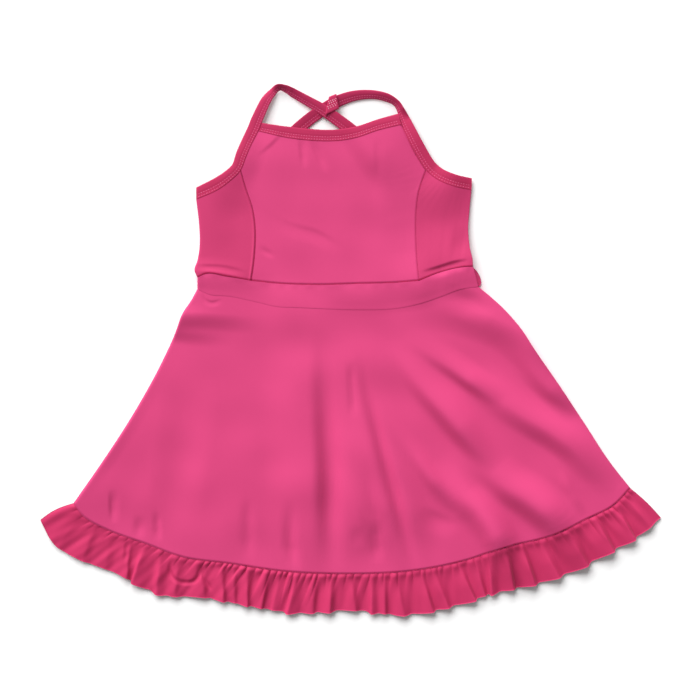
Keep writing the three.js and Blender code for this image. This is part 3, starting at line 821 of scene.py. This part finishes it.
def binding_surface(base, s, along, curl=0.0):
    """Upper face of a binding: rounded across, grooved at its two sewn rows, faintly puckered."""
    height = base + binding_lift + band_profile(s, binding_crown, 0.65)
    for row in stitch_rows:
        pull = groove_depth + groove_pull * np.sin(2 * np.pi * along / stitch_pitch)
        height = height - pull * np.exp(-((s - row) / groove_width) ** 2)
    return height + curl * (1 - (2 * s - 1) ** 2)


def strip_base(rows, plan, place, front_count):
    """Underside of a strip: the front's height up to the shoulder, then the lift of each row."""
    height = front_height(plan[:, :1]) - edge_fall * np.linspace(0, 1, plan.shape[1])
    lifts = [r[4] if len(r) > 4 else 0.0 for r in rows]
    lifted = np.interp(place, np.arange(len(rows)), lifts)
    over = smoothstep(place, front_count - 2.2, front_count + 0.6)
    return height * (1 - over) + lifted * over


def make_strip(name, front_rows, back_rows):
    """A strap: its rows over the front, then those over the back, with the curl at the shoulder."""
    rows, front_count = front_rows + back_rows, len(front_rows) - 1
    plan = strip_plan(rows)
    s = strip_shares[None, :]
    place = np.arange(len(plan))[:, None] / steps_per_row
    along = lengths_along(plan[:, strip_steps // 2])[:, None]
    width = np.linalg.norm(plan[:, -1] - plan[:, 0], axis=1)[:, None]
    hidden = np.sqrt(np.maximum(strap_width**2 - width**2, 0))
    past = smoothstep(place, front_count - 1.0, front_count + 0.4)
    bend = 1 - smoothstep(place, front_count + 1.5, front_count + 3.5)
    base = strip_base(rows, plan, place, front_count)
    height = binding_surface(base, s, along, curl_share * hidden)
    height = height + (turn_share * hidden * bend + turn_lift) * past * s
    upper = np.dstack([plan, height])
    side = name.removeprefix("strap_")
    strips[name] = (upper, along)
    return cloth_shell(name, ["strap_front_" + side, "strap_back_" + side], upper,
                       cloth_map(s * strap_width, along), binding_knit, thickness=binding_wall)


left_strap = make_strip("strap_left", strap_front_left, strap_back_left)
right_strap = make_strip("strap_right", strap_front_right, strap_back_right)

# %% Neck binding
neck_width = 11.5
neck_end_left = inner_edge(strap_front_left, neck_corner_row, neck_corner_row + 1)
neck_end_right = inner_edge(strap_front_right, neck_corner_row, neck_corner_row + 1)
neck_top = smooth_line([neck_end_left[-1], *[(px, py + neck_width) for px, py in neck_seam_inner],
                        neck_end_right[-1]])
neck_plan = np.swapaxes(fill_between(neck_seam, neck_top, neck_end_left, neck_end_right,
                                     crowded(150, 0.5), strip_shares), 0, 1)
neck_along = lengths_along(neck_plan[:, strip_steps // 2])[:, None]
neck_z = binding_surface(front_height(neck_plan), strip_shares[None, :], neck_along)
neck_upper = np.dstack([neck_plan, neck_z])
neck_binding = cloth_shell("neck_binding", ["front_neck_binding"], neck_upper,
                           cloth_map(strip_shares * neck_width, neck_along), binding_knit,
                           thickness=binding_wall)
strips["neck_binding"] = (neck_upper, neck_along)


# %% [markdown]
# The back lies under the front and rests flat on the surface: a one-piece bodice back with a bound
# upper edge, the back of the waistband and the skirt back. From above only slivers show, but the
# part is also seen from below, so the back gets a few shallow creases of its own. They rise off
# the surface and never sink below it.

# %% Back pieces
back_creases = [
    # path, full width, rise, lean
    ([(-60, 20), (-90, -80), (-130, -190)], 22, 1.0, 0),
    ([(20, 10), (30, -90), (60, -205)], 20, 0.9, 0),
    ([(90, 20), (150, -60), (205, -150)], 24, 1.0, 0),
    ([(-130, 20), (-180, -60), (-225, -140)], 20, 0.8, 0),
    ([(-10, -80), (-20, -150), (-24, -214)], 16, 0.7, 0),
    ([(-100, 150), (-60, 120), (-20, 100)], 18, 0.6, 0),
    ([(90, 140), (60, 115), (30, 100)], 16, 0.6, 0),
]


def back_panel(name, plan, seams, node, wall=cloth_thickness):
    """A panel of the back, whose seam edges grow thin from both faces."""
    under = sum(crease_rise(plan, *row) for row in back_creases)
    over = under + wall
    edges = edge_distances(plan)
    for edge in seams:
        dip = 0.6 * seam_dip(edges[edge], 0.35, 1.6)
        under, over = under + dip, over - dip
    return cloth_shell(name, [node], np.dstack([plan, over]), plan * MM, panel_knit,
                       np.dstack([plan, under]))


back_band_wall, below_armhole = 1.4, 8
back_top_edge = inner_edge(back_binding, 0, len(back_binding) - 1)
back_side_left = np.vstack([back_top_edge[:1], side_left[below_armhole:]])
back_side_right = np.vstack([back_top_edge[-1:], side_right[below_armhole:]])
back_bodice_plan = fill_between(back_top_edge, band_top_whole, back_side_left, back_side_right,
                                crowded(110, 0.6), crowded(60, 0.6))
back_band_end = smooth_line([band_top_whole[-1], (126.5, 79), (130, 73), (131, 66), band_lower[-1]])
back_band_plan = fill_between(band_top_whole, band_lower, band_left_end, back_band_end,
                              crowded(120, 0.6), crowded(12, 0.7))
skirt_back_plan = fill_between(band_lower, seam_line, skirt_left, skirt_right,
                               crowded(130, 0.6), crowded(110, 0.6))
back_bodice = back_panel("bodice_back", back_bodice_plan, ["bottom"], "back_bodice_panel")
back_band = back_panel("waistband_at_back", back_band_plan, ["top", "bottom"], "waistband_back",
                       back_band_wall)
skirt_back = back_panel("skirt_back_panel", skirt_back_plan, ["top", "bottom"], "skirt_back")

# %% Binding of the back's top edge
back_strip_plan = strip_plan(back_binding)
back_along = lengths_along(back_strip_plan[:, strip_steps // 2])[:, None]
top_z, low_z = (np.broadcast_to(z, back_strip_plan.shape[:2])
                for z in (0.15 + band_profile(strip_shares, 1.45),
                          floor_gap + 0.5 * (1 - band_profile(strip_shares, 1.0))))
back_strip = cloth_shell("back_edge_binding", ["back_top_binding"], np.dstack([back_strip_plan, top_z]),
                         cloth_map(strip_shares * strap_width, back_along), binding_knit,
                         np.dstack([back_strip_plan, low_z]))


# %% [markdown]
# The ruffle is a long straight strip, gathered at the seam and left to stand in flutes at the hem.
# Every flute of the photograph has its row: where its crest starts at the seam, where it ends at
# the hem, its height, and which flank is steep. Between the crests the cloth sinks to a valley,
# and a sideways lean lets the steep flank hang over. Small gathers of uneven length sit at the
# seam. The back ruffle follows the same plan, lower, so that the two nest.

# %% Ruffle shape
# crest x at the seam, crest x at the hem, height, steep side (1 right, -1 left), extra hem reach
flute_rows = [
    (-268, -293, 1.2, 1, 0.5), (-254, -268, 2.2, 1, 1.0), (-240, -244, 1.0, 1, 0.5),
    (-222.3, -223, 4.4, 1, 1.0), (-204, -216, 4.4, -1, 3.0), (-189, -190, 4.0, -1, 3.2),
    (-172, -176, 3.4, 1, 1.6), (-149, -146, 3.6, 1, 1.5), (-128, -126.5, 5.0, 1, 2.6),
    (-116, -116, 3.4, 1, 1.0), (-102.5, -104, 6.2, 1, 2.2), (-81, -90, 5.4, 1, 1.4),
    (-69, -77, 3.0, -1, 0.6), (-52.4, -60.5, 5.2, -1, 3.0), (-34, -38, 3.6, 1, 2.4),
    (-19, -22, 5.8, 1, 2.6), (1, 4, 4.0, 1, 1.0), (22.6, 24, 5.8, -1, 2.8), (34.6, 33, 4.6, 1, 1.6),
    (45, 52, 4.8, 1, 2.6), (69.5, 81.5, 5.8, 1, 2.6), (82.8, 95, 7.2, 1, 2.0), (108, 123, 7.0, 1, 2.8),
    (123, 134, 4.4, 1, 1.0), (138.4, 142.5, 6.6, -1, 2.4), (154.9, 160, 8.0, 1, 2.4),
    (171, 181, 7.6, 1, 2.2), (187.8, 205.6, 7.2, 1, 2.0), (215, 233, 8.2, 1, 2.4),
    (242.7, 259, 8.6, 1, 2.6), (264.6, 281, 7.4, 1, 2.2), (274, 298, 4.4, 1, 1.2),
]
ruffle_columns, ruffle_steps, ruffle_depth = 900, 34, 42
gather_random = np.random.default_rng(7)
print("flutes in the table:", len(flute_rows))


# %% Gathers and flutes
def share_at_x(line, x):
    length = lengths_along(line)
    return np.interp(x, line[:, 0], length / length[-1])


def gather_puffs(u, v):
    """Small puffs between the gathering stitches, each of its own height and length."""
    pitches = gather_random.uniform(4.6, 9.4, 200)
    notches = np.concatenate([[0], np.cumsum(pitches)]) / seam_length
    notches = notches[notches < 1.02]
    count = len(notches)
    height = gather_random.uniform(1.8, 3.6, count)
    reach = gather_random.uniform(0.08, 0.26, count)
    reach = reach * (1 + 1.2 * (gather_random.uniform(0, 1, count) > 0.8))
    calm = 0.4 + 0.6 * smoothstep(notches, 0.14, 0.32)
    height, reach = height * calm, reach * calm
    lean = gather_random.normal(0, 0.004, count)
    total = np.zeros(np.broadcast(u, v).shape)
    for k in range(count - 1):
        q = (u - lean[k] * v - notches[k]) / (notches[k + 1] - notches[k])
        puff = np.sin(np.pi * np.clip(q, 0, 1)) ** 0.5 * ((q > 0) & (q < 1))
        total += height[k] * puff * np.exp(-(v / reach[k]) ** 1.6)
    return total, count


def flute_field(u, v):
    """Height of the flutes, their sideways lean and their extra reach, in millimetres."""
    seam_u = np.array([share_at_x(seam_line, row[0]) for row in flute_rows])
    hem_u = np.array([share_at_x(hem_line, row[1]) for row in flute_rows])
    # one more low crest past each end, steep on its right, with no extra reach
    h, side, out = (np.array([end, *[row[k] for row in flute_rows], end])
                    for k, end in ((2, 0.6), (3, 1), (4, 0)))
    height, lean, reach = (np.zeros((len(v), len(u))) for _ in range(3))
    for j, share in enumerate(v):
        place = np.concatenate([[-0.02], seam_u + (hem_u - seam_u) * share**0.9, [1.02]])
        k = np.clip(np.searchsorted(place, u) - 1, 0, len(place) - 2)
        p = (u - place[k]) / (place[k + 1] - place[k])
        fall = np.where(side[k] > 0, 0.34, 0.6)
        rise = np.where(side[k + 1] > 0, 0.72, 0.34)
        scale = np.minimum(1, 1 / (fall + rise))
        down = np.clip(1 - p / (fall * scale), 0, 1) ** 1.45
        up = np.clip(1 - (1 - p) / (rise * scale), 0, 1) ** 1.45
        height[j] = h[k] * down + h[k + 1] * up
        lean[j] = (h[k] * side[k] * down**1.3 + h[k + 1] * side[k + 1] * up**1.3) / 5
        reach[j] = out[k] * down**0.4 + out[k + 1] * up**0.4
    return height, lean, reach


def smoothed_along(values, spread):
    """The values averaged over neighbouring columns with a bell of this spread."""
    offsets = np.arange(-3 * spread, 3 * spread + 1)
    weight = np.exp(-0.5 * (offsets / spread) ** 2)
    padded = np.pad(values, ((0, 0), (3 * spread, 3 * spread)), mode="edge")
    return np.stack([np.convolve(row, weight / weight.sum(), mode="valid") for row in padded])


# %% Ruffle plan
hem_inset, bulge_reach, bulge_rate, lean_reach = 0.6, 2.4, 60, 2.6
u = np.linspace(0, 1, ruffle_columns + 1)
v = np.concatenate([[0, 0.012, 0.03], np.linspace(0.055, 1, ruffle_steps - 2)])
across, depth = u[None, :], v[:, None]
height, lean, reach = (smoothed_along(field, ruffle_columns // 450) for field in flute_field(u, v))
gathers, gather_count = gather_puffs(across, depth)
seam, hem = points_at(seam_line, u), points_at(hem_line, u)
long_way = np.linalg.norm(hem - seam, axis=1)
out = (hem - seam) / long_way[:, None]
tangent = np.gradient(seam, axis=0)
tangent /= np.linalg.norm(tangent, axis=1)[:, None]
ends = 0.5 * np.exp((u - 1) * bulge_rate) - np.exp(-u * bulge_rate)
far = depth * (long_way + reach - hem_inset)
aside = lean * depth**1.1 * lean_reach + bulge_reach * np.sin(np.pi * depth) * ends
ruffle_plan = seam + out * far[..., None] + tangent * aside[..., None]
print("gathers:", gather_count)

# %% Ruffle heights
ruffle_wall, ruffle_gap, back_share, front_share = 0.7, 0.5, 0.34, 0.66
gather_lift, seam_follow, end_height = 0.35, 1.1, 1.5
# height, waves along the seam, drift down the ruffle and start of each faint wander of the cloth
wander_rows = [(0.25, 160, 2.6, 0), (0.18, 290, -3.2, 2), (0.12, 420, 1.7, 4)]
# folds drawn as grooves on the cloth: path, full width, rise, lean
ruffle_folds = [
    ([(-176.5, -207), (-180, -219), (-176, -228), (-167, -232), (-156, -231), (-151, -225), (-151, -211)],
     7, -0.9, 0),
    ([(-149, -210), (-146, -227), (-138, -241)], 7, -1.1, 0),
    ([(-222, -188), (-224, -214)], 8, -1.0, 0),
]
wander = sum(a * np.sin(f * across + g * depth + start) for a, f, g, start in wander_rows)
wander = wander * smoothstep(depth, 0.05, 0.5)
flute = height * (0.35 + 0.65 * smoothstep(depth, 0, 0.65))
held = 0.5 + 0.5 * smoothstep(depth, -0.02, 0.1)
back_top = cloth_thickness + back_share * flute * depth
seam_lift = np.maximum(front_height(seam) - front_base - hem_rise, 0)
front_z = back_top + ruffle_gap + cloth_thickness + front_share * flute
front_z += held * (gathers + wander + gather_lift) + seam_follow * seam_lift * (1 - depth) ** 1.3
for row in ruffle_folds:
    front_z += crease_strength * crease_rise(ruffle_plan, *row)
near_end = np.clip(np.minimum(u, 1 - u) * long_way.mean() * 3, 0, 1)
front_z = end_height + (front_z - end_height) * (0.25 + 0.75 * np.sqrt(1 - (1 - near_end) ** 2))
front_upper = np.dstack([ruffle_plan, front_z])
back_upper = np.dstack([ruffle_plan, back_top])
print("front ruffle up to", round(front_z.max(), 1), "mm")

# %% Ruffle pieces
ruffle_map = cloth_map(lengths_along(front_upper[len(v) // 2]), depth * ruffle_depth)
ruffle = cloth_shell("ruffle_front_piece", ["ruffle_front"], front_upper, ruffle_map, ruffle_knit,
                     thickness=ruffle_wall)
back_upper, back_map = back_upper[:, ::2], ruffle_map[:, ::2]
back_ruffle = cloth_shell("ruffle_back_piece", ["ruffle_back"], back_upper, back_map, ruffle_knit,
                          back_upper - [0, 0, cloth_thickness])


# %% [markdown]
# A small stitched tab holds the two straps together where they cross. It is a short doubled piece
# of the same knit, so it is a small thick patch with rounded edges, set just above the straps.

# %% Strap keeper
keeper_corners = np.array([[(-21, 252.5), (-13.5, 255.5)], [(-25, 234), (-11, 240.5)]])
keeper_base, keeper_crown, keeper_wall, keeper_cut = 5.9, 1.2, 1.6, (0.012, 0.019)
keeper_shares = crowded(20, 0.7)
keeper_plan = fill_between(*keeper_corners, keeper_corners[:, 0], keeper_corners[:, 1],
                           keeper_shares, keeper_shares)
keeper_round = band_profile(keeper_shares, 1.0, 0.3)
keeper_z = keeper_base + keeper_crown * keeper_round[None, :] * keeper_round[:, None]
keeper = cloth_shell("keeper_tab", ["strap_keeper"], np.dstack([keeper_plan, keeper_z]),
                     keeper_plan * MM, binding_knit, thickness=keeper_wall)


# %% [markdown]
# The sewing is a twin row of small stitches along every binding that shows and a zigzag on the
# keeper. One stitch is modelled as by hand: a low sphere, stretched to a grain and cut flat below.
# Copies of it are laid along the rows and joined, one mesh for each binding, since hundreds of
# separate objects would be slow to handle.

# %% One stitch
stitch_length, stitch_width, stitch_height = 2.0, 0.62, 0.4
deselect()
bpy.ops.mesh.primitive_uv_sphere_add(segments=8, ring_count=5, radius=0.5, location=(0, 0, 0))
grain = bpy.context.object
grain.name = "one_stitch"
bpy.ops.object.mode_set(mode="EDIT")
bpy.ops.mesh.select_all(action="SELECT")
bpy.ops.transform.resize(value=(stitch_length, stitch_width, stitch_height))
bpy.ops.mesh.bisect(plane_co=(0, 0, -stitch_height / 4), plane_no=(0, 0, 1), use_fill=True,
                    clear_inner=True)
bpy.ops.object.mode_set(mode="OBJECT")
grain_points = np.array([p.co[:] for p in grain.data.vertices])
grain_faces = [list(f.vertices) for f in grain.data.polygons]
bpy.data.objects.remove(grain)
print("one stitch has", len(grain_faces), "faces")


# %% Thread material
def thread(name, colour):
    """A sewing thread, with fine flecks of a darker tone."""
    material, tree = new_material(name)
    tone = two_tones(tree, colour, [0.8 * c for c in colour], 900)
    set_inputs(tree.nodes["Principled BSDF"], {"Roughness": 0.45, "Base Color": tone})
    return material


pink_thread = thread("pink_thread", (0.74, 0.11, 0.27))
pale_thread = thread("pale_thread", (0.86, 0.42, 0.55))


# %% Rows of stitches
def stitched(name, places, material):
    """Copies of the stitch at these places: x, y, z, direction in radians, length share."""
    points, faces = [], []
    for k, (*place, turn, share) in enumerate(places):
        c, s = math.cos(turn), math.sin(turn)
        local = grain_points * [share, 1, 1]
        turned = np.stack([c * local[:, 0] - s * local[:, 1], s * local[:, 0] + c * local[:, 1], local[:, 2]])
        points.append(turned.T + place)
        faces += [[i + k * len(grain_points) for i in face] for face in grain_faces]
    smooth = np.ones(len(faces), dtype=bool)
    return new_piece(name, "binding", [], np.vstack(points), faces, smooth, material)


def row_places(upper, along, s, margin=3.0):
    """Places of the stitches of one row, at the share s across a strip."""
    line = np.stack([[np.interp(s, strip_shares, values) for values in section.T] for section in upper])
    length = along[:, 0]
    where = np.arange(margin, length[-1] - margin, stitch_pitch)
    x, y, z = (np.interp(where, length, values) for values in line.T)
    ahead_x, ahead_y = (np.interp(where + 0.5, length, line[:, k]) for k in range(2))
    return [(a, b, c, math.atan2(q - b, p - a), 1.0) for a, b, c, p, q in zip(x, y, z, ahead_x, ahead_y)]


stitch_pieces = {}
for name, (upper, along) in strips.items():
    places = [place for s in stitch_rows for place in row_places(upper, along, s)]
    stitch_pieces[name] = stitched(name + "_stitches", places, pink_thread)

# %% Keeper stitches
zigzag_count, zigzag_depth = 9, 0.28
zigzag = []
for k in range(zigzag_count):
    share = 0.12 + 0.76 * k / (zigzag_count - 1)
    top, low = (1 - share) * keeper_corners[:, 0] + share * keeper_corners[:, 1]
    row = 0.3 + 0.12 * (k % 2)
    for down in (row, row + zigzag_depth):
        px, py = (1 - down) * top + down * low
        zigzag.append((px, py, keeper_base + keeper_crown, math.radians(80 if k % 2 else -40), 0.8))
keeper_stitches = stitched("keeper_stitches", zigzag, pale_thread)


# %% [markdown]
# Every piece that a maker would cut is declared as a sheet, with the size of its flat cut. The
# panels lie nearly flat, so their cut is the size of their outline. A binding is as long as its
# middle line. The ruffle is cut as a straight strip, as long as its hem along the flutes.

# %% Cuts
def cut_of(plan):
    """Width, length and area of a panel's plan, in metres."""
    size = (plan.reshape(-1, 2).max(axis=0) - plan.reshape(-1, 2).min(axis=0)) * MM
    a, b = plan[:-1, :-1] - plan[1:, 1:], plan[:-1, 1:] - plan[1:, :-1]
    area = 0.5 * np.abs(a[..., 0] * b[..., 1] - a[..., 1] * b[..., 0]).sum() * MM**2
    return tuple(size), area


# piece, its plan, the pieces it rests on
panels = [
    (centre, centre_plan, ["bodice_back"]), (side_front_left, side_left_plan, ["bodice_back"]),
    (side_front_right, side_right_plan, ["bodice_back"]), (skirt, skirt_plan, ["skirt_back_panel"]),
    (back_bodice, back_bodice_plan, []), (back_band, back_band_plan, []),
    (skirt_back, skirt_back_plan, []), (waistband, band_plan, ["waistband_at_back"]),
]
for piece, plan, under in panels:
    flat, area = cut_of(plan)
    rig.sheet(piece, flat=flat, held="laid", rests_on=under, area=area, with_pieces=[])
    print(piece.name, [round(f, 3) for f in flat], round(area, 4), "m2")
for piece in (left_strap, right_strap, neck_binding):
    strip_cut = (strap_width * MM, strips[piece.name][1][-1, 0] * MM)
    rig.sheet(piece, flat=strip_cut, held="laid", with_pieces=[stitch_pieces[piece.name]])
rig.sheet(back_strip, flat=(strap_width * MM, back_along[-1, 0] * MM), held="laid")
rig.sheet(keeper, flat=keeper_cut, held="laid", rests_on=["strap_left"], with_pieces=[keeper_stitches])
ruffle_cut = (lengths_along(front_upper[-1])[-1] * MM, ruffle_depth * MM)
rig.sheet(ruffle, flat=ruffle_cut, held="gathered", rests_on=["ruffle_back_piece"])
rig.sheet(back_ruffle, flat=ruffle_cut, held="gathered")
print("ruffle cut", round(ruffle_cut[0], 3), "m, seam", round(seam_length * MM, 3), "m")

# %% Size and end
json.dump({"cad": [list(c) for c in cad_box], "visual": [list(c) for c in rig.bounds()]}, open("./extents.json", "w"))
print("size", open("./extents.json").read())
